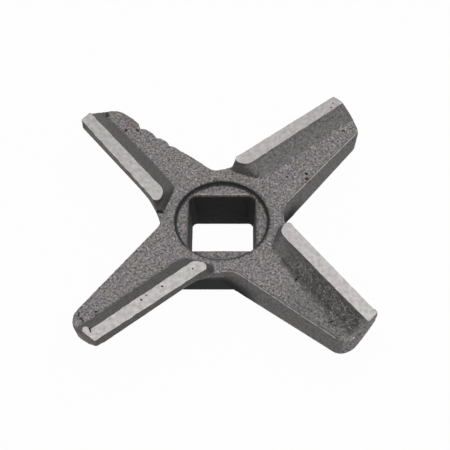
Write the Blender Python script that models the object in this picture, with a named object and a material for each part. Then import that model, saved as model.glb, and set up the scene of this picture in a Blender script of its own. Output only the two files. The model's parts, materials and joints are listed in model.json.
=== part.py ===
"""A four-armed mincer knife, cast in one piece, with a ground cutting land along the front edge of each arm.

Metres, +Z up. The origin lies on the axis of the square hole, in the back face of the boss that the knife
stands on, and the cutting lands face up. The hole's sides run along X and Y, and the arms point between them.

Every arm is drawn in one frame and turned to its place by quarter turns. A straight edge is written as a pair
(offset, angle): the angle is the edge's direction, and the offset is how far the edge lies to the left of the
hub's axis, seen along that direction.
"""

from collections import namedtuple
from math import acos, asin, atan2, cos, pi, radians, sin, sqrt, tan

import bmesh
import bpy
from mathutils import Matrix, Vector

MM = 0.001

# Heights
HEIGHT = 9.75 * MM  # back of the boss to the cutting plane
LAND_STEP = 2.0 * MM  # how far the lands stand above the cast face
RECESS_DEPTH = 0.8 * MM
LIP_ROOT = 1.3 * MM  # depth of the leading wall under the cutting edge, next to the hub
LIP_TIP = 1.85 * MM  # the same at the tip
BACK_ROOT = 5.95 * MM  # depth of the trailing wall's foot under the cutting plane, next to the hub
BACK_TIP = 5.1 * MM  # the same at the tip
ROOT_SWELL = 2.6 * MM  # how much deeper the leading wall gets where it runs into the hub
SWELL_LENGTH = 4.8 * MM

# Hub
HOLE_FRONT = 9.8 * MM  # side of the square hole at the recess
HOLE_BACK = 9.1 * MM  # the hole narrows towards the back
HOLE_CORNER = 0.75 * MM
HOLE_CHAMFER = 0.25 * MM
RECESS_RADIUS = 6.8 * MM
RECESS_RIM_ROUND = 0.35 * MM
RECESS_FLOOR_ROUND = 0.3 * MM
BOSS_FRONT = 17.7 * MM  # side of the square hub at the cast face
BOSS_BACK = 14.35 * MM
BOSS_CORNER = 1.6 * MM
BOSS_EDGE_ROUND = 0.35 * MM

# Arms
TIP_RADIUS = 27.0 * MM
LEAD_ANGLE = radians(38.0)
LEAD_OFFSET = 6.37 * MM
LEAD_TIP_ROUND = 0.22 * MM
LEAD_ROOT_ROUND = 8.0 * MM
TRAIL_OFFSET = 5.9 * MM
TRAIL_CORNER_ROUND = 3.2 * MM
TRAIL_ROOT_ROUND = 2.8 * MM
TRAIL_DRAFT = 0.3 * MM  # how far the foot of the trailing wall stands out past its top edge

# Cutting lands and the relief behind them
LAND_ANGLE = radians(38.9)  # inner edge of the land
LAND_OFFSET = 4.24 * MM
LAND_FLARE = 0.15 * MM  # how far the land follows the root round, out past the leading edge's line
LAND_NOSE = 9.1 * MM  # distance from the axis to the edge that ends the land at the hub
FLANK_ANGLE = radians(39.4)  # foot of the relief
FLANK_OFFSET = 1.15 * MM
FLANK_NOSE = 8.2 * MM
NOSE_ANGLE = radians(-19.5)
NOSE_LEAD_ROUND = 0.75 * MM
LAND_NOSE_ROUND = 1.5 * MM
FLANK_NOSE_ROUND = 2.6 * MM
FLANK_HOLLOW = 1.25  # 1 is a flat relief, and more makes it hollow

# The four arms share one pattern, but were cast and fettled by hand. Each arm has its own trailing angle, and
# its own shares of the pattern's lengths. Corner is the trailing corner's round at the cast face, of which the
# trailing edge cuts off the share past, and foot_corner is its round at the wall's foot. One arm has a torn
# trailing edge, and one has a burr hooked round its tip.
Arm = namedtuple(
    "Arm",
    "turn trail_angle trail corner past foot_corner back_tip flank nose torn_edge hooked",
    defaults=((), False),
)

# Torn trailing edge: share of the way from root to corner, and share of the tear's depth there
TEAR_DEPTH = 0.74 * MM
TORN_EDGE = (
    (0.24, 0.0),
    (0.31, 0.18),
    (0.39, 0.19),
    (0.43, 0.68),
    (0.48, 0.14),
    (0.55, 0.24),
    (0.58, 0.74),
    (0.65, 0.3),
    (0.73, 0.36),
    (0.78, 1.0),
    (0.83, 0.22),
    (0.9, 0.0),
)
ARMS = (
    Arm(0, radians(50.0), 0.902, 1.69, 0.29, 1.1, 0.93, 0.95, 1.02),
    Arm(1, radians(51.3), 1.005, 0.93, 0.0, 1.0, 1.0, 1.1, 1.0, torn_edge=TORN_EDGE),
    Arm(2, radians(52.4), 1.093, 0.81, 0.0, 1.7, 0.84, 1.15, 0.955, hooked=True),
    Arm(3, radians(51.9), 0.983, 0.75, 0.0, 0.75, 1.0, 1.45, 1.0),
)

# Burr that hooks round the tip behind one land
HOOK_OVERLAP = radians(2.0)
HOOK_REACH = radians(0.9)
HOOK_WIDTH = 0.85 * MM
HOOK_DRAFT = 0.25 * MM

CUT_MARGIN = 1.0 * MM  # cutters reach this far past what they cut
ROOT_OVERLAP = 0.05 * MM  # the arms start this far inside the hub's faces
FACE_GAP = 0.02 * MM  # a face this near the cutting plane belongs to a land
ROUND_FACETS = 7  # facets of each rounded corner, the same at every level of a loft

CAST_FACE = HEIGHT - LAND_STEP
RECESS_FLOOR = CAST_FACE - RECESS_DEPTH


def heading(angle):
    return Vector((cos(angle), sin(angle)))


def leftward(angle):
    return Vector((-sin(angle), cos(angle)))


def meeting(edge_a, edge_b):
    """Point where two straight edges, each an (offset, angle) pair, cross."""
    (offset_a, angle_a), (offset_b, angle_b) = edge_a, edge_b
    run = (offset_b - offset_a * cos(angle_a - angle_b)) / sin(angle_a - angle_b)
    return leftward(angle_a) * offset_a + heading(angle_a) * run


def arc(centre, radius, start, end, facets=ROUND_FACETS):
    """Points on a circle from one angle to another, both included."""
    return [centre + heading(start + (end - start) * i / facets) * radius for i in range(facets + 1)]


def rounded_corner(edge_in, edge_out, radius):
    """Arc that turns from one edge into the next, to the left or to the right."""
    turn = (edge_out[1] - edge_in[1] + pi) % (2 * pi) - pi
    side = 1 if turn > 0 else -1
    reach = radius * tan(abs(turn) / 2)
    start = meeting(edge_in, edge_out) - heading(edge_in[1]) * reach
    centre = start + leftward(edge_in[1]) * radius * side
    first = edge_in[1] - side * pi / 2
    return arc(centre, radius, first, first + turn)


def tip_round(edge, side, radius):
    """Centre, and the angles of the two ends, of an arc between a straight edge and the tip circle."""
    offset, angle = edge
    inset = offset - side * radius
    centre = leftward(angle) * inset + heading(angle) * sqrt((TIP_RADIUS - radius) ** 2 - inset**2)
    return centre, angle + side * pi / 2, atan2(centre.y, centre.x)


def torn(start, end, angle, torn_edge):
    """Points along a torn edge between two points."""
    return [start.lerp(end, share) + leftward(angle) * depth * TEAR_DEPTH for share, depth in torn_edge]


def arm_ring(arm, height):
    """Counterclockwise section of one arm, from inside the hub to the tip and back."""
    # 0 at the trailing wall's top edge, and 1 at its foot
    share = (CAST_FACE - height) / (BACK_ROOT - LAND_STEP)
    hub_side = boss_side(min(height, CAST_FACE)) / 2 - ROOT_OVERLAP
    trail = (-arm.trail * TRAIL_OFFSET - TRAIL_DRAFT * share, arm.trail_angle)
    lead = (LEAD_OFFSET, LEAD_ANGLE)
    lead_inward = (-LEAD_OFFSET, LEAD_ANGLE + pi)
    foot = min(max(share, 0), 1)
    corner_round = (arm.corner + (arm.foot_corner - arm.corner) * foot) * TRAIL_CORNER_ROUND
    past = arm.past * (1 - foot)
    cut_off = past * corner_round
    corner, corner_start, corner_end = tip_round((trail[0] - cut_off, trail[1]), -1, corner_round)
    corner_start += acos(1 - past)
    front, front_end, front_start = tip_round(lead, 1, LEAD_TIP_ROUND)
    root = rounded_corner((-hub_side, pi / 2), trail, TRAIL_ROOT_ROUND)
    tip = arc(corner, corner_round, corner_start, corner_end)
    points = root + torn(root[-1], tip[0], arm.trail_angle, arm.torn_edge) + tip
    points += arc(Vector((0, 0)), TIP_RADIUS, corner_end, front_start)[1:-1]
    points += arc(front, LEAD_TIP_ROUND, front_start, front_end)
    points += rounded_corner(lead_inward, (-hub_side, pi), LEAD_ROOT_ROUND)
    points.append(heading(pi / 4) * HOLE_CORNER)
    return at_height(points, height)


def rail_ring(inner, nose, nose_round):
    """Counterclockwise edge of what the relief leaves standing, run out past the arm's tip."""
    lead = (LEAD_OFFSET + LAND_FLARE, LEAD_ANGLE)
    lead_inward = (-lead[0], LEAD_ANGLE + pi)
    end = (-TIP_RADIUS - CUT_MARGIN, LEAD_ANGLE + pi / 2)
    nose_edge = (nose, NOSE_ANGLE)
    points = rounded_corner(lead_inward, nose_edge, NOSE_LEAD_ROUND)
    points += rounded_corner(nose_edge, inner, nose_round)
    return points + [meeting(inner, end), meeting(end, lead)]


def at_height(points, height):
    return [Vector((point.x, point.y, height)) for point in points]


def blend(ring_a, ring_b, share):
    return [a.lerp(b, share) for a, b in zip(ring_a, ring_b)]


def loft(name, rings, turn=0):
    """Closed solid through rings of equally many points, each counterclockwise seen from the last ring."""
    mesh = bpy.data.meshes.new(name)
    shape = bmesh.new()
    layers = [[shape.verts.new(point) for point in ring] for ring in rings]
    for low, high in zip(layers, layers[1:]):
        for i in range(len(low)):
            j = (i + 1) % len(low)
            shape.faces.new((low[i], low[j], high[j], high[i]))
    shape.faces.new(reversed(layers[0]))
    shape.faces.new(layers[-1])
    bmesh.ops.rotate(shape, verts=shape.verts, matrix=Matrix.Rotation(turn * pi / 2, 3, "Z"))
    bmesh.ops.triangulate(shape, faces=shape.faces)
    shape.to_mesh(mesh)
    shape.free()
    solid = bpy.data.objects.new(name, mesh)
    bpy.context.collection.objects.link(solid)
    return solid


def combine(body, tool, operation):
    """Boolean of two solids that uses the second one up."""
    step = body.modifiers.new(tool.name, "BOOLEAN")
    step.operation = operation
    step.object = tool
    bpy.context.view_layer.objects.active = body
    bpy.ops.object.modifier_apply(modifier=step.name)
    bpy.data.objects.remove(tool)


def rounded_square(side, corner):
    """Counterclockwise square with round corners, about the hub's axis."""
    edges = [(-side / 2, quarter * pi / 2) for quarter in range(4)]
    return [p for i in range(4) for p in rounded_corner(edges[i - 1], edges[i], corner)]


def boss_side(height):
    return BOSS_BACK + (BOSS_FRONT - BOSS_BACK) * height / CAST_FACE


def make_boss():
    """Square boss that tapers to its back face, with its back edge rounded."""

    def section(height, inset=0.0):
        side = boss_side(min(height, CAST_FACE)) - 2 * inset
        return at_height(rounded_square(side, BOSS_CORNER - inset), height)

    rings = []
    steps = 4
    for i in range(steps + 1):
        swing = pi / 2 * i / steps
        rings.append(section(BOSS_EDGE_ROUND * (1 - cos(swing)), BOSS_EDGE_ROUND * (1 - sin(swing))))
    rings.append(section(CAST_FACE))
    rings.append(section(CAST_FACE + LAND_STEP / 2))
    return loft("boss", rings)


def make_undercut(arm):
    """Cutter whose top is an arm's back: a face that twists from the thin lip to the deep trailing wall."""
    lead = (LEAD_OFFSET, LEAD_ANGLE)
    trail = (-arm.trail * TRAIL_OFFSET, arm.trail_angle)
    root = BOSS_FRONT * sqrt(0.5)
    steps = 14
    low = -CUT_MARGIN

    def on_edge(edge, radius):
        offset, angle = edge
        return leftward(angle) * offset + heading(angle) * sqrt(radius**2 - offset**2)

    def along(edge, share, depth_root, depth_tip):
        point = on_edge(edge, root).lerp(on_edge(edge, TIP_RADIUS), share)
        return Vector((point.x, point.y, HEIGHT - depth_root - (depth_tip - depth_root) * share))

    rings = []
    first, last = -0.6, 1.15  # shares of the arm's length, from inside the hub to past the tip
    before, behind = -0.12, 1.12  # shares of its width, past both walls
    for i in range(steps + 1):
        share = first + (last - first) * i / steps
        front = along(lead, share, LIP_ROOT, LIP_TIP)
        back = along(trail, share, BACK_ROOT, arm.back_tip * BACK_TIP)
        inward = max(0, -share * (TIP_RADIUS - root) / SWELL_LENGTH)
        front.z -= ROOT_SWELL * min(inward, 1) ** 2
        lip = front.lerp(back, before)
        heel = front.lerp(back, behind)
        rings.append((Vector((lip.x, lip.y, low)), lip, heel, Vector((heel.x, heel.y, low))))
    return loft("undercut", rings, arm.turn)


def make_arm(arm):
    levels = (HEIGHT - BACK_ROOT - CUT_MARGIN, HEIGHT - BACK_ROOT, CAST_FACE, HEIGHT)
    blade = loft("arm", [arm_ring(arm, level) for level in levels], arm.turn)
    combine(blade, make_undercut(arm), "DIFFERENCE")
    return blade


def make_rail(arm):
    """The land and its relief flank, as the volume that the relief cutter spares."""
    land = rail_ring((LAND_OFFSET, LAND_ANGLE), LAND_NOSE, LAND_NOSE_ROUND)
    foot = rail_ring((arm.flank * FLANK_OFFSET, FLANK_ANGLE), arm.nose * FLANK_NOSE, FLANK_NOSE_ROUND)
    rings = [at_height(foot, CAST_FACE - CUT_MARGIN)]
    steps = 5
    for i in range(steps + 1):
        drop = 1 - i / steps
        rings.append(at_height(blend(land, foot, drop**FLANK_HOLLOW), HEIGHT - drop * LAND_STEP))
    rings.append(at_height(land, HEIGHT + CUT_MARGIN))
    return loft("rail", rings, arm.turn)


def make_hook(arm):
    """The burr at the tip, spared by the relief cutter like a short rail."""
    land_end = LAND_ANGLE + asin(LAND_OFFSET / TIP_RADIUS)
    start = land_end + HOOK_OVERLAP
    end = land_end - HOOK_REACH

    def ring(grow):
        inner = TIP_RADIUS - HOOK_WIDTH - grow
        middle = (inner + TIP_RADIUS) / 2
        outer = arc(Vector((0, 0)), TIP_RADIUS + CUT_MARGIN, end, start)
        back = arc(Vector((0, 0)), inner, start, end)
        nose = arc(heading(end) * middle, TIP_RADIUS - middle, end + pi, end + 2 * pi)
        return outer + back + nose[1:-1]

    rings = [
        at_height(ring(HOOK_DRAFT * 2), CAST_FACE - CUT_MARGIN),
        at_height(ring(0), HEIGHT),
        at_height(ring(0), HEIGHT + CUT_MARGIN),
    ]
    return loft("hook", rings, arm.turn)


def make_relief():
    """Everything that stands above the cast face but is neither land nor flank."""
    corners = arc(Vector((0, 0)), TIP_RADIUS + 3 * CUT_MARGIN, 0, 2 * pi, 48)[:-1]
    relief = loft("relief", [at_height(corners, CAST_FACE), at_height(corners, HEIGHT + CUT_MARGIN / 2)])
    for arm in ARMS:
        combine(relief, make_rail(arm), "DIFFERENCE")
        if arm.hooked:
            combine(relief, make_hook(arm), "DIFFERENCE")
    return relief


def make_recess():
    """Shallow round recess about the hole, with a rounded rim and a round at the floor."""
    rings = []
    steps = 4
    for i in range(steps + 1):
        swing = pi / 2 * i / steps
        inset = RECESS_FLOOR_ROUND * (1 - sin(swing))
        rings.append((RECESS_RADIUS - inset, RECESS_FLOOR + RECESS_FLOOR_ROUND * (1 - cos(swing))))
    for i in range(steps + 1):
        swing = pi / 2 * i / steps
        flare = RECESS_RIM_ROUND * (1 - cos(swing))
        rings.append((RECESS_RADIUS + flare, CAST_FACE - RECESS_RIM_ROUND * (1 - sin(swing))))
    rings.append((RECESS_RADIUS + RECESS_RIM_ROUND, CAST_FACE + CUT_MARGIN))
    circle = [heading(2 * pi * i / 72) for i in range(72)]
    return loft("recess", [at_height([point * radius for point in circle], z) for radius, z in rings])


def make_hole():
    """Square hole that narrows towards the back, with a small round at its front edge."""
    taper = (HOLE_FRONT - HOLE_BACK) / RECESS_FLOOR

    def section(height, grow=0.0):
        side = HOLE_BACK + taper * height + 2 * grow
        return at_height(rounded_square(side, HOLE_CORNER), height)

    chamfer_foot = RECESS_FLOOR - HOLE_CHAMFER
    over = RECESS_FLOOR + CUT_MARGIN
    return loft(
        "hole",
        [section(-CUT_MARGIN), section(chamfer_foot), section(RECESS_FLOOR, HOLE_CHAMFER / 2), section(over)],
    )


def metal(name, grey, roughness):
    material = bpy.data.materials.new(name)
    material.use_nodes = True
    shader = material.node_tree.nodes["Principled BSDF"]
    shader.inputs["Base Color"].default_value = (*grey, 1)
    shader.inputs["Metallic"].default_value = 1.0
    shader.inputs["Roughness"].default_value = roughness
    return material


def finish(knife):
    """Cast grey all over, and bright where the lands were ground flat."""
    knife.data.materials.append(metal("sand_cast_iron", (0.19, 0.18, 0.18), 0.62))
    knife.data.materials.append(metal("ground_iron", (0.52, 0.5, 0.49), 0.38))
    flat = HEIGHT - FACE_GAP
    for face in knife.data.polygons:
        face.material_index = 1 if face.center.z > flat and face.normal.z > 0.99 else 0
    knife.data.shade_smooth()
    knife.data.set_sharp_from_angle(angle=radians(32))


def build():
    for old in list(bpy.data.objects):
        bpy.data.objects.remove(old)
    knife = make_boss()
    knife.name = "cross_knife"
    for arm in ARMS:
        combine(knife, make_arm(arm), "UNION")
    combine(knife, make_relief(), "DIFFERENCE")
    combine(knife, make_recess(), "DIFFERENCE")
    combine(knife, make_hole(), "DIFFERENCE")
    finish(knife)


build()
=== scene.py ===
"""Looks of a four-armed mincer knife: a sand-cast iron knife with bright, ground cutting lands.

Metres, +Z up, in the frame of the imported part: the hole's axis is Z, and the hub's back face stands on the
plane Z = 0. The casting is modelled the way the real one comes about. A merged copy of the solid gets
grinding stock on its lands and the lumps of its mould, then a cast skin. Last, the lands are cut flat at
the cutting plane, and the gas holes and cracks are opened.

The arms are numbered 0 to 3, counterclockwise. A place on an arm is given in that arm's frame: the arm is
turned back to the first one's place.
"""

import json
from collections import namedtuple
from math import atan2, cos, hypot, pi, radians, sin

import bpy
from mathutils import Matrix, Vector, noise

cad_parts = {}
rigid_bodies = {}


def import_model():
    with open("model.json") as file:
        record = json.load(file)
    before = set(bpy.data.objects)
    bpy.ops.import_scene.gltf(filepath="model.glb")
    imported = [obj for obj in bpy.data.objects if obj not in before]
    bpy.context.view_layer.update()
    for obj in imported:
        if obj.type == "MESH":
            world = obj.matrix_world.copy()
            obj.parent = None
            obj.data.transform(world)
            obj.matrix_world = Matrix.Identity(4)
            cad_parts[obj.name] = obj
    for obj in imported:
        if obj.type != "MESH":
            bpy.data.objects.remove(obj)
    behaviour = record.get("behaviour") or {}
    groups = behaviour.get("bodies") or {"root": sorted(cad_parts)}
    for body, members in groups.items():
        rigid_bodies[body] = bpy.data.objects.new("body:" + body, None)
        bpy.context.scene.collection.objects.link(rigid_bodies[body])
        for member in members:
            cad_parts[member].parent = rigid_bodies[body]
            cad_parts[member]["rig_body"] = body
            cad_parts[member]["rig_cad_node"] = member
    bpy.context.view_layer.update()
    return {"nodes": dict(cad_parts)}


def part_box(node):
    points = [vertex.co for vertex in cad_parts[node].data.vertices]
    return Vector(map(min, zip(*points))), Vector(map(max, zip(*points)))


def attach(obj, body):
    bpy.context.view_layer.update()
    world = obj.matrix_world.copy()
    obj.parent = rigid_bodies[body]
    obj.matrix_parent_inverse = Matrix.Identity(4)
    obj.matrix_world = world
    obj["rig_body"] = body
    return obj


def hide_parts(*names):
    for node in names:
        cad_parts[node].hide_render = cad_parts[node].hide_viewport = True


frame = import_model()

MM = 0.001

# Heights and edges that the finish follows, as the solid has them
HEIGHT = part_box("cross_knife")[1].z
LAND_STEP = 2.0 * MM
RECESS_DEPTH = 0.8 * MM
CAST_FACE = HEIGHT - LAND_STEP
RECESS_FLOOR = CAST_FACE - RECESS_DEPTH
RECESS_RADIUS = 6.8 * MM
HOLE_HALF = 4.9 * MM
HOLE_CORNER = 0.75 * MM
BOSS_HALF = 8.85 * MM
TIP_RADIUS = 27.0 * MM
LEAD_ANGLE = radians(38.0)
LEAD_OFFSET = 6.37 * MM
LAND_NOSE = 9.1 * MM
NOSE_ANGLE = radians(-19.5)
ARM_START = radians(8)  # heading at which the first arm's quarter of the knife starts
TRAIL_EDGES = (  # angle and offset of each arm's trailing edge
    (radians(50.0), 5.32 * MM),
    (radians(51.3), 5.93 * MM),
    (radians(52.4), 6.45 * MM),
    (radians(51.9), 5.80 * MM),
)

# How each arm came out of the mould and wore, as a share for each arm
FLANK_SMOOTH = (0.1, 1.0, 1.0, 0.15)  # how little grain the relief flank has
FLANK_DARK = (0.5, 1.0, 1.0, 0.95)  # how black the flank's skin is, partly painted shade of the sloping flank
END_DARK = (0.5, 0.5, 0.5, 0.15)  # how black the wall at the tip is
NOSE_SOOT_AND_SHADE = (0.72, 0.72, 0.15, 0.3)  # how dark the land's nose is at the hub: partly soot, partly painted shade on its steep end
LEAD_WAVY = (0.25, 0.65, 0.5, 0.25)  # how far the leading edge wanders
FLANK_RAGGED = (0.3, 0.1, 0.12, 0.45)  # unevenness of the foot of the black skin, in mm
BURRED_ARMS = (0, 3)
WRINKLED_ARM = 3

# The same for all arms
TRAIL_WAVY = 0.45  # how far the land's other edge wanders
WALL_DARK = 0.5  # how black the skin of the walls is
WALL_SLOPE = (0.45, 0.75)  # height of the unit normal: steeper is a wall, and flatter is a face
END_ZONE = (TIP_RADIUS - 1.2 * MM, TIP_RADIUS - 0.6 * MM)  # where the tip's wall starts

# The wrinkled arm's black skin: where it starts, on the flank and past its foot, as distances from the
# axis, and its reach behind the leading edge
INNER_FLANK = (9 * MM, 14 * MM)
BLACK_START = 11 * MM
BLACK_REACH = (4.4 * MM, 4.8 * MM)

# Lumps that the mould left: arm, place, depth of the middle under the cutting plane, turn in degrees, and
# half sizes, in mm
Lump = namedtuple("Lump", "arm x y depth turn half")
LUMPS = (
    Lump(1, 16.6, 20.6, 0.95, 0, (0.5, 0.5, 0.8)),
    Lump(3, 16.45, 20.75, 0.9, 0, (0.57, 0.57, 0.9)),
    Lump(2, 18.35, 16.0, 2.0, 42, (1.25, 0.9, 0.4)),
    Lump(1, 19.25, 17.95, 2.0, 40, (0.45, 0.35, 0.25)),
    Lump(1, 1.75, 8.5, 2.0, 64, (0.6, 0.16, 0.25)),
)

# The widest lump is a flake of the face's own skin, so it isn't black like the flank that it laps over. How
# far round its middle that holds, and the most that its skin lies over its middle, in mm
FLAKE = LUMPS[2]
FLAKE_REACH = (1.0, 1.3)
FLAKE_RISE = 0.7

# Gas holes and cracks: arm, the two ends, width and depth, in mm
Gouge = namedtuple("Gouge", "arm start end width depth")
GOUGES = (
    Gouge(2, (3.90, 9.75), (3.88, 9.68), 0.24, 0.2),
    Gouge(2, (8.00, 12.60), (8.08, 12.57), 0.28, 0.25),
    Gouge(2, (8.55, 12.22), (8.60, 12.20), 0.16, 0.1),
    Gouge(2, (10.85, 14.75), (10.78, 14.79), 0.3, 0.12),
    Gouge(2, (10.18, 14.04), (10.08, 14.02), 0.18, 0.08),
    Gouge(0, (16.60, 19.95), (16.64, 19.88), 0.22, 0.12),
    Gouge(0, (16.28, 19.05), (16.36, 19.02), 0.26, 0.15),
    Gouge(0, (12.30, 7.15), (12.60, 7.00), 0.4, 0.35),
    Gouge(0, (12.30, 8.15), (12.45, 8.02), 0.34, 0.3),
    Gouge(0, (18.1, 16.16), (18.3, 16.1), 0.24, 0.2),
    Gouge(0, (9.50, 7.55), (9.60, 7.50), 0.3, 0.25),
    Gouge(1, (16.40, 14.60), (16.25, 14.70), 0.34, 0.3),
    Gouge(1, (16.45, 13.05), (16.15, 12.75), 0.28, 0.3),
    Gouge(1, (1.29, 9.40), (1.20, 8.50), 0.32, 0.4),
    Gouge(2, (17.20, 15.55), (17.10, 15.50), 0.3, 0.3),
    Gouge(2, (19.50, 15.50), (19.48, 16.25), 0.14, 0.3),
    Gouge(2, (19.30, 16.55), (18.85, 16.95), 0.12, 0.25),
    Gouge(2, (17.74, 18.80), (17.40, 19.85), 0.24, 1.1),
    Gouge(3, (16.95, 15.25), (17.10, 15.00), 0.24, 0.3),
    Gouge(3, (17.60, 15.75), (17.68, 15.68), 0.2, 0.3),
    Gouge(3, (10.20, 10.50), (10.35, 10.45), 0.3, 0.3),
)

# Leading corner at the third arm's tip, which is worn round below the land: arm, place and reach
WORN_TIP = (2, Vector((16.76, 21.17)) * MM, 1.3 * MM)

# Ring-shaped groove about the bead at the second arm's tip
BEAD_GROOVE = Gouge(1, (19.25, 17.95), (19.25, 17.95), 1.1, 0.17)

# Stains: arm, place and reach in mm, and how sooty and how rusty they are
Stain = namedtuple("Stain", "arm x y reach soot rust")
STAINS = (
    Stain(1, 2.45, 9.15, 1.0, 0.85, 0.3),
    Stain(1, 17.75, 13.65, 1.5, 0.0, 0.6),
    Stain(1, 16.1, 14.9, 0.7, 0.1, 0.4),
    Stain(0, 12.45, 7.2, 0.6, 0.35, 0.8),
    Stain(2, 10.8, 14.8, 0.5, 0.0, 0.5),
)

# Making of the cast surface
GRINDING_STOCK = 0.45 * MM
SKIN_FINENESS = 0.8  # share of a box of 256 cells across that the knife fills, so a cell is 0.2 mm
SKIN_GROWTH = 0.04 * MM
BURR_HEIGHT = 0.12 * MM
BURR_REACH = 1.0 * MM  # largest distance from a bright edge that the zones tell apart
BURR_END = 25.6 * MM  # how far out on an arm its burr goes
ROOT_BLEND = 0.7 * MM  # round of the burred edge where the arm leaves the boss

# The hole's corners are fuller than the solid's: a bar leans in each. Its middle is given as a distance
# from the axis and a height, and its half sizes are in mm
FILL_PLACE = Vector((6.784, 3.5)) * MM
FILL_HALF = (0.6, 0.9, 3.3)
FILL_LEAN = radians(4.07)

# Light and floor
FLOOR_DEPTH = 0.06 * MM  # clear of the skin's growth under the hub
FLOOR_WHITE = 0.975  # share of the floor that is plain white to the camera, and the rest shows the shadow
SKY = 0.38
LAMP_PLACE = (0.1, -0.02, 0.5)
LAMP_SIZE = 0.7
LAMP_WATTS = 1.95

# Camera, found from the object's own edges in the photograph
CAMERA_PLACE = Vector((3.5196, -108.967, 165.1642)) * MM
CAMERA_TURN = (radians(34.4454), radians(0.7674), radians(0.4989))
FOCAL_PIXELS = 1330.4
PHOTO_PIXELS = 450
SENSOR_MM = 36


def linear(code):
    """Linear colour of an sRGB hex code."""
    channels = (int(code[i : i + 2], 16) / 255 for i in (1, 3, 5))
    return tuple(c / 12.92 if c <= 0.04045 else ((c + 0.055) / 1.055) ** 2.4 for c in channels) + (1,)


def add_node(tree, kind, inputs=None, **settings):
    """One node with its settings. Each input is set to a value, or linked to another node's output.

    A Mix node's inputs go by number: 0 is the share, 2 and 3 are two values, and 6 and 7 are two colours.
    """
    node = tree.nodes.new(kind)
    for name, value in settings.items():
        setattr(node, name, value)
    for name, value in (inputs or {}).items():
        if isinstance(value, bpy.types.NodeSocket):
            tree.links.new(value, node.inputs[name])
        else:
            node.inputs[name].default_value = value
    return node.outputs


def new_material(name):
    material = bpy.data.materials.new(name)
    material.use_nodes = True
    material.node_tree.nodes.clear()
    return material, material.node_tree


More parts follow.
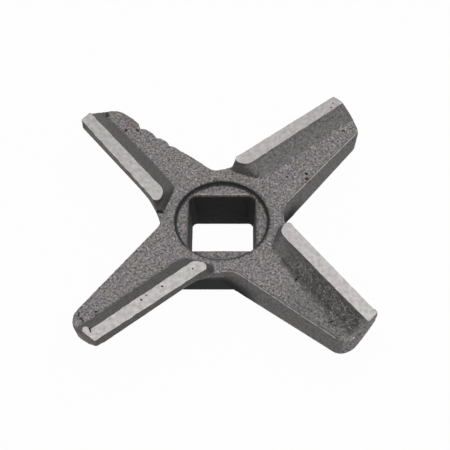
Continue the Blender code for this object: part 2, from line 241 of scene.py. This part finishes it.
def sand_cast_iron():
    """Grey iron, sand cast and tumbled: a dull grey skin with coarse grain, each grain tipped bright, partly
    bare metal and partly painted glints.

    The skin reads four zones that the casting carries: the smooth black skin of flanks and walls, partly
    painted shade on the flanks; the soot left in the hole, the recess and under the arms, partly painted
    shade there and at the lands' noses; the distance from a bright edge; and rust. A fifth one tells where
    the sand washed into wrinkles.
    """
    material, tree = new_material("sand_cast_iron")
    place = add_node(tree, "ShaderNodeTexCoord")["Object"]
    zone = add_node(tree, "ShaderNodeAttribute", attribute_name="zone")
    black, soot, burr = list(add_node(tree, "ShaderNodeSeparateColor", {"Color": zone["Color"]}))[:3]
    rust = zone["Alpha"]
    washed = add_node(tree, "ShaderNodeAttribute", attribute_name="washed")["Fac"]

    # Sizes in mm: grains of the coarse end of moulding sand, flecks of bare metal that are partly painted
    # glints, clouds of scale, and the dashes into which a worn edge breaks
    patterns = []
    for size, detail in ((0.34, 3.0), (0.24, 2.0), (1.8, 4.0), (0.7, 1.0)):
        patterns.append(add_node(tree, "ShaderNodeTexNoise", {
            "Vector": place, "Scale": 1 / (size * MM), "Detail": detail, "Roughness": 0.6})["Fac"])
    grain, fleck, cloud, dash = patterns

    depth = add_node(tree, "ShaderNodeMapRange", {"Value": grain, "From Min": 0.36, "From Max": 0.64})[0]
    skin = add_node(tree, "ShaderNodeMix", {0: depth, 6: linear("#4e4c4d"), 7: linear("#979495")},
                    data_type="RGBA")[2]
    warmth = add_node(tree, "ShaderNodeMapRange", {"Value": cloud, "From Min": 0.42, "From Max": 0.58})[0]
    tint = add_node(tree, "ShaderNodeMix", {0: warmth, 6: linear("#f0ecf2"), 7: linear("#f2f0e9")},
                    data_type="RGBA")[2]
    skin = add_node(tree, "ShaderNodeMix", {0: 1.0, 6: skin, 7: tint}, data_type="RGBA",
                    blend_type="MULTIPLY")[2]
    # Bright flecks, partly bare metal and partly painted glints
    glint = add_node(tree, "ShaderNodeMapRange", {"Value": fleck, "From Min": 0.62, "From Max": 0.72})[0]
    skin = add_node(tree, "ShaderNodeMix", {0: glint, 6: skin, 7: linear("#c4c1c0")}, data_type="RGBA")[2]

    # The black skin ends in a ragged line, where grains stand out of it
    ragged = add_node(tree, "ShaderNodeMath", {0: grain, 1: 0.7, 2: black}, operation="MULTIPLY_ADD")[0]
    black = add_node(tree, "ShaderNodeMapRange", {"Value": ragged, "From Min": 0.52, "From Max": 1.1})[0]
    # Smooth black skin; on the flanks it is partly painted shade of their slope
    flank = add_node(tree, "ShaderNodeMix", {0: depth, 6: linear("#494746"), 7: linear("#5c5a57")},
                     data_type="RGBA")[2]
    skin = add_node(tree, "ShaderNodeMix", {0: black, 6: skin, 7: flank}, data_type="RGBA")[2]
    # Wrinkles: curling ridges 0.1 mm wide on black, the pale ridges painted highlights and the darkened
    # black between them painted shade
    curl = add_node(tree, "ShaderNodeTexNoise", {"Vector": place, "Scale": 1 / (1.1 * MM), "Detail": 2.0,
                                                 "Distortion": 2.2})["Fac"]
    curl = add_node(tree, "ShaderNodeMath", {0: curl, 1: 0.5}, operation="SUBTRACT")[0]
    curl = add_node(tree, "ShaderNodeMath", {0: curl}, operation="ABSOLUTE")[0]
    ridge_height_and_highlight = add_node(tree, "ShaderNodeMapRange", {"Value": curl, "From Min": 0.045, "From Max": 0.015})[0]
    shade_between_ridges = add_node(tree, "ShaderNodeMix", {0: 1.0, 6: skin, 7: linear("#c2c2c2")}, data_type="RGBA",
                      blend_type="MULTIPLY")[2]
    wrinkled = add_node(tree, "ShaderNodeMix", {0: ridge_height_and_highlight, 6: shade_between_ridges, 7: linear("#8b8885")},
                        data_type="RGBA")[2]
    skin = add_node(tree, "ShaderNodeMix", {0: washed, 6: skin, 7: wrinkled}, data_type="RGBA")[2]
    # Soot, partly painted shade: in the hole, the recess's corner, under the arms, at the lands' noses and
    # along the wrinkled flank's foot
    skin = add_node(tree, "ShaderNodeMix", {0: soot, 6: skin, 7: linear("#2f3131")}, data_type="RGBA")[2]
    skin = add_node(tree, "ShaderNodeMix", {0: rust, 6: skin, 7: linear("#6b5350")}, data_type="RGBA")[2]

    # A bright edge lies where its zone is a half: on the burrs, and at the hole's far edge, where wear
    # carries a painted highlight.
    # It shows 0.3 mm wide, broken into dashes, and a dark line of painted shadow lies beside it, on the
    # face's side
    shade = add_node(tree, "ShaderNodeMath", {0: burr, 1: 0.4}, operation="SUBTRACT")[0]
    shade = add_node(tree, "ShaderNodeMath", {0: shade}, operation="ABSOLUTE")[0]
    shade = add_node(tree, "ShaderNodeMapRange", {"Value": shade, "From Min": 0.06, "From Max": 0.02,
                                                  "To Max": 0.55})[0]
    skin = add_node(tree, "ShaderNodeMix", {0: shade, 6: skin, 7: linear("#302f2f")}, data_type="RGBA")[2]
    aside = add_node(tree, "ShaderNodeMath", {0: burr, 1: 0.5}, operation="SUBTRACT")[0]
    aside = add_node(tree, "ShaderNodeMath", {0: aside}, operation="ABSOLUTE")[0]
    line = add_node(tree, "ShaderNodeMapRange", {"Value": aside, "From Min": 0.085, "From Max": 0.045})[0]
    dash = add_node(tree, "ShaderNodeMapRange", {"Value": dash, "From Min": 0.38, "From Max": 0.5,
                                                 "To Min": 0.2, "To Max": 0.75})[0]
    line = add_node(tree, "ShaderNodeMath", {0: line, 1: dash}, operation="MULTIPLY")[0]
    colour = add_node(tree, "ShaderNodeMix", {0: line, 6: skin, 7: linear("#bdb9b4")}, data_type="RGBA")[2]

    metallic = add_node(tree, "ShaderNodeMapRange", {"Value": soot, "To Min": 0.35, "To Max": 0.8})[0]
    rough = add_node(tree, "ShaderNodeMapRange", {"Value": grain, "From Min": 0.3, "From Max": 0.7,
                                                  "To Min": 0.66, "To Max": 0.5})[0]
    rough = add_node(tree, "ShaderNodeMix", {0: soot, 2: rough, 3: 0.9})[0]
    level = add_node(tree, "ShaderNodeMath", {0: black, 1: 0.7}, operation="MULTIPLY")[0]
    height = add_node(tree, "ShaderNodeMix", {0: level, 2: grain, 3: 0.5})[0]
    height = add_node(tree, "ShaderNodeMix", {0: washed, 2: height, 3: ridge_height_and_highlight})[0]
    grit = add_node(tree, "ShaderNodeBump", {"Strength": 0.8, "Distance": 0.05 * MM, "Height": height})[0]
    shader = add_node(tree, "ShaderNodeBsdfPrincipled", {"Base Color": colour, "Metallic": metallic,
                                                         "Roughness": rough, "Normal": grit})[0]
    add_node(tree, "ShaderNodeOutputMaterial", {"Surface": shader})
    return material


def ground_iron():
    """Grey iron, surface ground: bright and nearly flat, with fine scratches that run one way."""
    material, tree = new_material("ground_iron")
    place = add_node(tree, "ShaderNodeTexCoord")["Object"]
    # Scratches 0.12 mm apart and 3 mm long, coarser than a wheel's grit so that they show
    along = add_node(tree, "ShaderNodeMapping", {
        "Vector": place, "Scale": (1 / (0.12 * MM), 1 / (3.0 * MM), 1.0)})
    scratch = add_node(tree, "ShaderNodeTexNoise", {"Vector": along[0], "Scale": 1.0, "Detail": 2.0})["Fac"]
    # Clouds of wear, and the faint colours of old grease
    cloud = add_node(tree, "ShaderNodeTexNoise", {"Vector": place, "Scale": 1 / (0.7 * MM), "Detail": 4.0,
                                                  "Roughness": 0.6})["Fac"]
    grease = add_node(tree, "ShaderNodeTexNoise", {
        "Vector": place, "Scale": 1 / (1.9 * MM), "Detail": 2.0})["Fac"]
    tone = add_node(tree, "ShaderNodeMapRange", {"Value": cloud, "From Min": 0.3, "From Max": 0.7})[0]
    metal = add_node(tree, "ShaderNodeMix", {0: tone, 6: linear("#908e8e"), 7: linear("#b0aead")},
                     data_type="RGBA")[2]
    warmth = add_node(tree, "ShaderNodeMapRange", {"Value": grease, "From Min": 0.4, "From Max": 0.6})[0]
    tint = add_node(tree, "ShaderNodeMix", {0: warmth, 6: linear("#fbf7f8"), 7: linear("#f9faf7")},
                    data_type="RGBA")[2]
    metal = add_node(tree, "ShaderNodeMix", {0: 1.0, 6: metal, 7: tint}, data_type="RGBA",
                     blend_type="MULTIPLY")[2]
    # Graphite specks of grey iron, and spots that the wheel just missed
    speck = add_node(tree, "ShaderNodeTexNoise", {
        "Vector": place, "Scale": 1 / (0.26 * MM), "Detail": 2.0})["Fac"]
    speck = add_node(tree, "ShaderNodeMapRange", {"Value": speck, "From Min": 0.6, "From Max": 0.72,
                                                  "To Max": 0.5})[0]
    metal = add_node(tree, "ShaderNodeMix", {0: speck, 6: metal, 7: linear("#7a7674")}, data_type="RGBA")[2]
    rough = add_node(tree, "ShaderNodeMapRange", {"Value": scratch, "From Min": 0.3, "From Max": 0.7,
                                                  "To Min": 0.34, "To Max": 0.5})[0]
    lines = add_node(tree, "ShaderNodeBump", {
        "Strength": 0.25, "Distance": 0.01 * MM, "Height": scratch})[0]
    shader = add_node(tree, "ShaderNodeBsdfPrincipled", {"Base Color": metal, "Metallic": 0.9,
                                                         "Roughness": rough, "Normal": lines})[0]
    add_node(tree, "ShaderNodeOutputMaterial", {"Surface": shader})
    return material


def apply_modifier(piece, kind, **settings):
    modifier = piece.modifiers.new(kind.lower(), kind)
    for name, value in settings.items():
        setattr(modifier, name, value)
    bpy.context.view_layer.objects.active = piece
    bpy.ops.object.modifier_apply(modifier=modifier.name)


def clouds(name, size):
    """Soft lumps of about the given size, for displacement."""
    texture = bpy.data.textures.new(name, "CLOUDS")
    texture.noise_scale = size
    texture.noise_depth = 2
    return texture


def select_faces(piece, wanted):
    """Leaves only the wanted faces selected, by their centre and normal."""
    bpy.ops.object.mode_set(mode="EDIT")
    bpy.ops.mesh.select_mode(type="FACE")
    bpy.ops.mesh.select_all(action="DESELECT")
    bpy.ops.object.mode_set(mode="OBJECT")
    for face in piece.data.polygons:
        face.select = wanted(face)
    bpy.ops.object.mode_set(mode="EDIT")


def select_only(pieces):
    bpy.ops.object.select_all(action="DESELECT")
    for piece in pieces:
        piece.select_set(True)
    bpy.context.view_layer.objects.active = pieces[0]


def step(low, high, value):
    share = min(max((value - low) / (high - low), 0), 1)
    return share * share * (3 - 2 * share)


def band(low, high, soft, value):
    """1 between low and high, fading out over soft on both sides."""
    return step(low - soft, low, value) * (1 - step(high, high + soft, value))


def arm_of(point):
    """Number of the arm that a point belongs to, and the point in that arm's frame."""
    turn = int((atan2(point.y, point.x) - ARM_START) // (pi / 2)) % 4
    return turn, in_arm(point, turn)


def in_arm(point, turn):
    return Matrix.Rotation(-turn * pi / 2, 2) @ point.xy


def on_arm(turn, x, y):
    """Place in the knife's frame of a place on an arm, given in mm."""
    return Matrix.Rotation(turn * pi / 2, 2) @ Vector((x, y)) * MM


def copy_casting():
    """A merged copy of the solid, alone in the selection."""
    node = frame["nodes"]["cross_knife"]
    piece = node.copy()
    piece.data = node.data.copy()
    piece.name = "knife_casting"
    piece.parent = None
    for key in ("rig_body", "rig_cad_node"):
        del piece[key]
    bpy.context.scene.collection.objects.link(piece)
    select_only([piece])
    bpy.ops.object.mode_set(mode="EDIT")
    bpy.ops.mesh.select_all(action="SELECT")
    bpy.ops.mesh.remove_doubles(threshold=0.001 * MM)
    bpy.ops.object.mode_set(mode="OBJECT")
    piece.data.materials.clear()
    return piece


def add_grinding_stock(piece):
    """The lands before grinding: they stand proud of the cutting plane."""
    select_faces(piece, lambda face: face.normal.z > 0.99 and face.center.z > HEIGHT - 0.01 * MM)
    bpy.ops.mesh.extrude_region_move(TRANSFORM_OT_translate={"value": (0, 0, GRINDING_STOCK)})
    bpy.ops.object.mode_set(mode="OBJECT")


def add_lumps(piece):
    """Lumps of the mould, sunk into the casting, and the fill in the corners of the hole."""
    added = []
    for lump in LUMPS:
        x, y = on_arm(lump.arm, lump.x, lump.y)
        bpy.ops.mesh.primitive_ico_sphere_add(
            subdivisions=3, radius=MM, location=(x, y, HEIGHT - lump.depth * MM),
            rotation=(0, 0, radians(lump.turn + 90 * lump.arm)))
        bpy.context.object.scale = lump.half
        added.append(bpy.context.object)
    for turn in range(4):
        heading = pi / 4 + turn * pi / 2
        bpy.ops.mesh.primitive_cube_add(size=2 * MM, rotation=(0, FILL_LEAN, heading), location=(
            FILL_PLACE.x * cos(heading), FILL_PLACE.x * sin(heading), FILL_PLACE.y))
        bpy.context.object.scale = FILL_HALF
        added.append(bpy.context.object)
    select_only(added)
    bpy.ops.object.join()
    lumps = bpy.context.object
    select_only([piece])
    apply_modifier(piece, "BOOLEAN", operation="UNION", object=lumps)
    bpy.data.objects.remove(lumps)


def weigh(piece, name, weight):
    """Vertex group whose weight is worked out from each point and its normal."""
    group = piece.vertex_groups.new(name=name)
    for vertex in piece.data.vertices:
        group.add([vertex.index], weight(vertex.co, vertex.normal), "REPLACE")
    return group.name


def roughen(piece):
    """Cast skin: even small facets, then lumps from the sand, from coarse to fine, and the burr."""
    apply_modifier(piece, "REMESH", mode="SHARP", octree_depth=8, scale=SKIN_FINENESS, sharpness=1.0)
    for name, weight, iterations in (("soft", softness, 7), ("worn", wear, 16)):
        group = weigh(piece, name, weight)
        apply_modifier(piece, "SMOOTH", factor=0.5, iterations=iterations, vertex_group=group)
    apply_modifier(piece, "DISPLACE", mid_level=0, strength=SKIN_GROWTH)
    grainy = weigh(piece, "grainy", graininess)
    wrinkled = weigh(piece, "wrinkled", wrinkle)
    wavy = weigh(piece, "wavy", waviness)
    lumps = (  # size and height in mm
        ("mould_wave", 2.6, 0.06, grainy),
        ("mould_lump", 0.9, 0.07, grainy),
        ("mould_grain", 0.45, 0.09, grainy),
        ("mould_wrinkle", 0.7, 0.3, wrinkled),
        ("worn_edge", 1.3, 0.34, wavy),
    )
    for name, size, height, group in lumps:
        texture = clouds(name, size * MM)
        apply_modifier(piece, "DISPLACE", texture=texture, texture_coords="LOCAL", mid_level=0.5,
                       strength=height * MM, vertex_group=group)
    burred = weigh(piece, "burred", burr)
    apply_modifier(piece, "DISPLACE", direction="Z", mid_level=0, strength=BURR_HEIGHT, vertex_group=burred)


def softness(point, normal):
    """How far the edges are rounded: the upper ones, but for the hole's near edge, which stayed sharp."""
    near = abs(past_hole(point)) < 0.5 * MM and point.y < 0 and abs(point.z - RECESS_FLOOR) < 0.4 * MM
    upper = step(0.1, 0.3, normal.z)
    return 0.2 * upper if near and abs(point.x) < HOLE_HALF - HOLE_CORNER else upper


def wear(point, normal):
    """More than 0 at the far and side edges of the hole and at one arm's tip, which are worn."""
    arm, corner, reach = WORN_TIP
    aside = (in_arm(point, arm) - corner).length
    if aside < reach:
        under_land = 1 - step(HEIGHT - 0.7 * MM, HEIGHT - 0.3 * MM, point.z)
        return (1 - step(0.5, 1, aside / reach)) * under_land
    if past_hole(point) > 0.7 * MM or point.z > RECESS_FLOOR + 0.1 * MM:
        return 0
    beyond_near_edge = step(-4.2 * MM, -3.4 * MM, point.y)
    return 0.6 * step(RECESS_FLOOR - 0.7 * MM, RECESS_FLOOR - 0.4 * MM, point.z) * beyond_near_edge


def graininess(point, normal):
    """How rough the sand left the skin: most on the upper faces, and less on the walls and the backs."""
    low = 1 - step(CAST_FACE - 2.0 * MM, CAST_FACE - 0.6 * MM, point.z)
    return (1 - 0.75 * smoothness(point, normal)) * (1 - 0.8 * low)


def wrinkle(point, normal):
    """1 on the flank and outer face of one arm, where the sand washed into wrinkles."""
    turn, local = arm_of(point)
    if turn != WRINKLED_ARM or normal.z < 0.5 or point.z < CAST_FACE - 0.3 * MM:
        return 0
    flank = step(CAST_FACE + 0.05 * MM, CAST_FACE + 0.3 * MM, point.z) * step(9 * MM, 16 * MM, local.length)
    outer = 0.9 * step(12 * MM, 19 * MM, local.length)
    below_land = 1 - step(HEIGHT - 0.5 * MM, HEIGHT - 0.1 * MM, point.z)
    return max(flank, outer) * below_land * (1 - step(*END_ZONE, local.length))


def towards_lead(local):
    """How far a place on an arm lies from the axis, square to the leading edge."""
    return local.y * cos(LEAD_ANGLE) - local.x * sin(LEAD_ANGLE)


def waviness(point, normal):
    """How far the edges of a land wander: most at the leading edges of the two worn arms."""
    turn, local = arm_of(point)
    if point.z < HEIGHT - 1.2 * MM or local.length >= TIP_RADIUS - 0.4 * MM:
        return 0
    lead = step(LEAD_OFFSET - 0.5 * MM, LEAD_OFFSET - 0.1 * MM, towards_lead(local))
    edge = LEAD_WAVY[turn] * lead + TRAIL_WAVY * (1 - lead)
    return edge * step(HEIGHT - 1.2 * MM, HEIGHT - 0.3 * MM, point.z)


def smooth_minimum(a, b, blend):
    share = min(max(0.5 + 0.5 * (b - a) / blend, 0), 1)
    return b + (a - b) * share - blend * share * (1 - share)


def burr_offset(point):
    """How far past a burred edge a point lies: 0 on the edge, less on the cast face, and more on the wall.

    The edge runs along the boss, through the root's round, and out along the trailing edge.
    """
    nearest = BURR_REACH
    for turn in BURRED_ARMS:
        local = in_arm(point, turn)
        angle, offset = TRAIL_EDGES[turn]
        if local.x < 0 or local.y < -0.2 * MM or local.length > BURR_END:
            continue
        past_trail = local.x * sin(angle) - local.y * cos(angle) - offset
        past = smooth_minimum(past_trail, local.x - BOSS_HALF, ROOT_BLEND)
        if abs(past) < BURR_REACH and abs(past + CAST_FACE - point.z) < abs(nearest):
            nearest = past + CAST_FACE - point.z
    return nearest


def burr(point, normal):
    """1 on a burred edge."""
    return 1 - step(0.1 * MM, 0.3 * MM, abs(burr_offset(point)))


def bright_edge_offset(point):
    """The same as burr_offset, with the far edge of the hole, which is worn and carries a painted highlight.
    """
    nearest = burr_offset(point)
    if point.y > 0 and abs(point.x) < HOLE_HALF - 0.8 * MM and abs(point.z - RECESS_FLOOR) < 0.5 * MM:
        patchy = 0.06 * MM * noise.noise(point / (0.5 * MM))
        past_rim = 1.5 * (RECESS_FLOOR - point.z - past_hole(point) + 0.1 * MM) + patchy
        nearest = min(nearest, past_rim, key=abs)
    return nearest


def grind(piece):
    """Cuts the lands flat at the cutting plane. Their edge stays sharp."""
    bpy.ops.object.mode_set(mode="EDIT")
    bpy.ops.mesh.select_all(action="SELECT")
    bpy.ops.mesh.bisect(plane_co=(0, 0, HEIGHT), plane_no=(0, 0, 1), clear_outer=True,
                        threshold=0.0005 * MM)
    bpy.ops.mesh.fill(use_beauty=False)
    bpy.ops.mesh.select_all(action="SELECT")
    bpy.ops.mesh.normals_make_consistent(inside=False)
    bpy.ops.object.mode_set(mode="OBJECT")
    for face in piece.data.polygons:
        ground = face.normal.z > 0.999 and face.center.z > HEIGHT - 0.001 * MM
        face.material_index = 1 if ground else 0
        face.use_smooth = not ground


def surface_under(piece, x, y):
    """Height of the casting's upper surface at a place."""
    found, place, normal, face = piece.ray_cast(Vector((x, y, HEIGHT + MM)), Vector((0, 0, -1)))
    return place.z if found else CAST_FACE


def open_gouges(piece):
    """Opens the gas holes and cracks. Gives the ends, half width and surface height of each."""
    opened = []
    cutters = []
    for gouge in GOUGES + (BEAD_GROOVE,):
        start, end = on_arm(gouge.arm, *gouge.start), on_arm(gouge.arm, *gouge.end)
        middle = (start + end) / 2
        top = surface_under(piece, *middle)
        half = gouge.width / 2 * MM
        if gouge is BEAD_GROOVE:
            bpy.ops.mesh.primitive_torus_add(
                location=(*middle, top), major_radius=half, minor_radius=gouge.depth * MM,
                major_segments=28, minor_segments=12)
        else:
            run = end - start
            bpy.ops.mesh.primitive_ico_sphere_add(subdivisions=3, radius=MM, location=(*middle, top),
                                                  rotation=(0, 0, atan2(run.y, run.x)))
            bpy.context.object.scale = (run.length / 2 / MM + half / MM, half / MM, gouge.depth)
        cutters.append(bpy.context.object)
        opened.append((start, end, half, top))
    select_only(cutters)
    bpy.ops.object.join()
    cutter = bpy.context.object
    bpy.ops.object.shade_smooth()
    bpy.ops.object.mode_set(mode="EDIT")
    bpy.ops.mesh.select_all(action="SELECT")
    bpy.ops.transform.vertex_random(offset=0.03 * MM, seed=4)
    bpy.ops.object.mode_set(mode="OBJECT")
    select_only([piece])
    apply_modifier(piece, "BOOLEAN", operation="DIFFERENCE", object=cutter)
    bpy.data.objects.remove(cutter)
    return opened


def smoothness(point, normal):
    """1 on the flanks and walls, which drew cleanly out of the mould, and 0 on the grainy faces."""
    turn, local = arm_of(point)
    flank = step(CAST_FACE + 0.1 * MM, CAST_FACE + 0.45 * MM, point.z) * FLANK_SMOOTH[turn]
    wall = 1 - step(*WALL_SLOPE, abs(normal.z))
    return max(flank, wall)


def flank_blackness(point, normal, turn, local):
    """1 where the flank is black, down to a ragged foot: black skin, partly painted shade of the flank's
    slope. The wrinkled arm's is black past its foot too.
    """
    foot = CAST_FACE + 0.14 * MM + FLANK_RAGGED[turn] * MM * noise.noise(point / (0.8 * MM))
    flank = step(foot, foot + 0.25 * MM, point.z) * FLANK_DARK[turn]
    if turn == WRINKLED_ARM:
        behind = LEAD_OFFSET - towards_lead(local) + 0.5 * MM * noise.noise(point / (1.1 * MM))
        between = CAST_FACE - 0.3 * MM < point.z < HEIGHT - 0.1 * MM
        if between and normal.z > 0.6 and local.length > BLACK_START:
            flank = max(flank, 0.9 * (1 - step(*BLACK_REACH, behind)))
        flank *= 0.45 + 0.55 * step(*INNER_FLANK, local.length)
        flank *= 1 - 0.75 * step(*END_ZONE, local.length)
    aside = (local / MM - Vector((FLAKE.x, FLAKE.y))).length
    if turn == FLAKE.arm and point.z < HEIGHT - (FLAKE.depth - FLAKE_RISE) * MM:
        flank *= step(*FLAKE_REACH, aside)
    return flank


def blackness(point, normal):
    """1 where the skin is smooth and black: on the flanks, where it is partly painted shade, and less so on
    the walls.
    """
    turn, local = arm_of(point)
    wall = 1 - step(*WALL_SLOPE, abs(normal.z))
    if past_hole(point) < 0.4 * MM:
        wall *= 1 - step(RECESS_FLOOR - 0.5 * MM, RECESS_FLOOR - 0.2 * MM, point.z)
    wall *= WALL_DARK + (END_DARK[turn] - WALL_DARK) * step(*END_ZONE, local.length)
    return max(flank_blackness(point, normal, turn, local), wall)


def past_hole(point):
    """Distance from the hole's wall out into the casting, with the hole's corners round."""
    straight = HOLE_HALF - HOLE_CORNER
    return hypot(max(abs(point.x) - straight, 0), max(abs(point.y) - straight, 0)) - HOLE_CORNER


def hole_soot_and_shade(point):
    """Soot in the hole, up to its worn edge, partly painted shade. At the near edge it shows as a thin line
    of painted shade.
    """
    near_edge_shade = 0.7 * (point.y < -HOLE_HALF + 0.3 * MM and past_hole(point) < 0.12 * MM)
    deep = 0.88 - 0.88 * step(RECESS_FLOOR - 0.6 * MM, RECESS_FLOOR - 0.25 * MM, point.z)
    return max(deep, near_edge_shade)


def recess_soot_and_shade(point, radius):
    """A dark ring in the recess's corner, partly soot and partly painted shade, wider at the near side where
    it paints the shade along the rim, and a trace of soot on its floor.
    """
    outer = RECESS_RADIUS + (0.04 + 0.17 * max(-point.y / radius, 0)) * MM
    ring = band(RECESS_RADIUS - 0.3 * MM, outer, 0.1 * MM, radius)
    return max(0.85 * ring, 0.12)


def arm_soot_and_shade(point, normal):
    """Soot and painted shade on the lands' noses, and a band of painted shade in the hollow foot of the
    wrinkled flank.
    """
    turn, local = arm_of(point)
    from_nose = local.y * cos(NOSE_ANGLE) - local.x * sin(NOSE_ANGLE)
    nose = NOSE_SOOT_AND_SHADE[turn] * (1 - step(LAND_NOSE - 1.1 * MM, LAND_NOSE - 0.1 * MM, from_nose))
    nose *= step(CAST_FACE + 0.1 * MM, CAST_FACE + 0.4 * MM, point.z)
    if turn != WRINKLED_ARM or normal.z <= 0.6 or not BLACK_START < local.length < 24.5 * MM:
        return nose
    # Painted shade in the hollow at the foot of the wrinkled flank
    level = point.z + 0.1 * MM * noise.noise(point / (0.9 * MM))
    return max(nose, 0.35 * band(CAST_FACE + 0.27 * MM, CAST_FACE + 0.4 * MM, 0.08 * MM, level))


def soot_and_shade(point, normal):
    """1 where the black scale of the mould was never rubbed off, with painted shade in the hole, in the
    recess's corner, at the lands' noses and under the arms.
    """
    radius = hypot(point.x, point.y)
    if past_hole(point) < 0.25 * MM and point.z < RECESS_FLOOR:
        return hole_soot_and_shade(point)
    if radius < RECESS_RADIUS + 0.5 * MM and point.z > RECESS_FLOOR - 0.3 * MM:
        return recess_soot_and_shade(point, radius)
    # The boss's walls under the arms: partly soot, partly painted shade of the arms above
    wall = 1 - step(*WALL_SLOPE, normal.z)
    under = 1 - step(CAST_FACE - 4.0 * MM, CAST_FACE - 0.6 * MM, point.z)
    on_boss = max(abs(point.x), abs(point.y)) <= BOSS_HALF
    inner = 1 - step(BOSS_HALF + 1.5 * MM, BOSS_HALF + 5.0 * MM, 0 if on_boss else radius)
    return max(arm_soot_and_shade(point, normal), wall * under * inner)


def gouge_soot(point, opened):
    """Soot inside the gas holes and cracks. Those in the lands are cleaner."""
    for start, end, half, top in opened:
        if point.z > top - 0.03 * MM or abs(point.x - start.x) > 2 * MM or abs(point.y - start.y) > 2 * MM:
            continue
        run = end - start
        share = min(max((point.xy - start).dot(run) / max(run.length_squared, 1e-12), 0), 1)
        aside = (point.xy - start - run * share).length
        if aside < half * 1.3 and point.z > top - 1.4 * MM:
            return 0.35 if top > HEIGHT - 0.1 * MM else 0.8
    return 0


def stains(point):
    """Soot and rust of the stains at a point."""
    soot = rust = 0
    for stain in STAINS:
        aside = (in_arm(point, stain.arm) / MM - Vector((stain.x, stain.y))).length
        if aside < stain.reach and point.z > CAST_FACE - 0.5 * MM:
            patchy = 0.75 + 0.6 * noise.noise(point / (0.6 * MM))
            share = (1 - step(0.35, 1.0, aside / stain.reach)) * min(patchy, 1)
            soot, rust = max(soot, stain.soot * share), max(rust, stain.rust * share)
    return soot, rust


def mark_zones(piece, opened):
    """Black skin, soot, distance from a bright edge, rust and wrinkles, at each point of the casting. The
    black skin and the soot carry painted shade too.
    """
    washed = [0.8 * wrinkle(vertex.co, vertex.normal) for vertex in piece.data.vertices]
    piece.data.attributes.new("washed", "FLOAT", "POINT").data.foreach_set("value", washed)
    zone = piece.data.attributes.new("zone", "FLOAT_COLOR", "POINT")
    for vertex, value in zip(piece.data.vertices, zone.data):
        point, normal = vertex.co, vertex.normal
        stain, rust = stains(point)
        # Soot with painted shade
        soot = max(soot_and_shade(point, normal), gouge_soot(point, opened), stain)
        edge = 0.5 + 0.5 * max(min(bright_edge_offset(point) / BURR_REACH, 1), -1)
        value.color = (blackness(point, normal), soot, edge, rust)


def make_casting():
    piece = copy_casting()
    add_grinding_stock(piece)
    add_lumps(piece)
    roughen(piece)
    piece.data.materials.append(sand_cast_iron())
    piece.data.materials.append(ground_iron())
    grind(piece)
    opened = open_gouges(piece)
    mark_zones(piece, opened)
    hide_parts("cross_knife")
    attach(piece, "root")


def white_to_camera(tree, share):
    """1 times share for what the camera sees, straight or in a reflection."""
    path = add_node(tree, "ShaderNodeLightPath")
    seen = add_node(tree, "ShaderNodeMath", {0: path["Is Camera Ray"], 1: path["Is Glossy Ray"]},
                    operation="MAXIMUM")[0]
    seen = add_node(tree, "ShaderNodeMath", {0: seen, 1: path["Is Transmission Ray"]},
                    operation="MAXIMUM")[0]
    return add_node(tree, "ShaderNodeMath", {0: seen, 1: share}, operation="MULTIPLY")[0]


def make_floor():
    """Plain pale floor that reads as white paper and keeps a faint shadow."""
    bpy.ops.object.select_all(action="DESELECT")
    bpy.ops.mesh.primitive_plane_add(size=2.0, location=(0, 0, -FLOOR_DEPTH))
    floor = bpy.context.object
    floor.name = "floor"
    material, tree = new_material("white_paper")
    paper = add_node(tree, "ShaderNodeBsdfDiffuse", {"Color": linear("#d0d0d0")})[0]
    glow = add_node(tree, "ShaderNodeEmission", {"Color": (1, 1, 1, 1), "Strength": 1.0})[0]
    white = white_to_camera(tree, FLOOR_WHITE)
    mixed = add_node(tree, "ShaderNodeMixShader", {0: white, 1: paper, 2: glow})[0]
    add_node(tree, "ShaderNodeOutputMaterial", {"Surface": mixed})
    floor.data.materials.append(material)


def make_world():
    """White to the camera, and a soft grey sky to the object."""
    world = bpy.data.worlds.new("studio")
    world.use_nodes = True
    tree = world.node_tree
    tree.nodes.clear()
    sky = add_node(tree, "ShaderNodeBackground", {"Color": (1, 1, 1, 1), "Strength": SKY})[0]
    white = add_node(tree, "ShaderNodeBackground", {"Color": (1, 1, 1, 1), "Strength": 1.0})[0]
    mixed = add_node(tree, "ShaderNodeMixShader", {0: white_to_camera(tree, 1.0), 1: sky, 2: white})[0]
    add_node(tree, "ShaderNodeOutputWorld", {"Surface": mixed})
    bpy.context.scene.world = world


def add_lamp(name, place, size, power):
    """Square soft box that faces the knife."""
    lamp = bpy.data.objects.new(name, bpy.data.lights.new(name, "AREA"))
    lamp.data.shape = "SQUARE"
    lamp.data.size = size
    lamp.data.energy = power
    lamp.location = place
    lamp.rotation_euler = (-Vector(place)).to_track_quat("-Z", "Y").to_euler()
    bpy.context.scene.collection.objects.link(lamp)


def make_camera():
    camera = bpy.data.objects.new("camera", bpy.data.cameras.new("camera"))
    camera.data.sensor_width = SENSOR_MM
    camera.data.lens = FOCAL_PIXELS / PHOTO_PIXELS * SENSOR_MM
    camera.data.clip_start = 0.01
    camera.location = CAMERA_PLACE
    camera.rotation_euler = CAMERA_TURN
    bpy.context.scene.collection.objects.link(camera)
    bpy.context.scene.camera = camera


make_casting()
make_floor()
make_world()
add_lamp("overhead_softbox", LAMP_PLACE, LAMP_SIZE, LAMP_WATTS)
make_camera()
bpy.context.scene.view_settings.view_transform = "Standard"
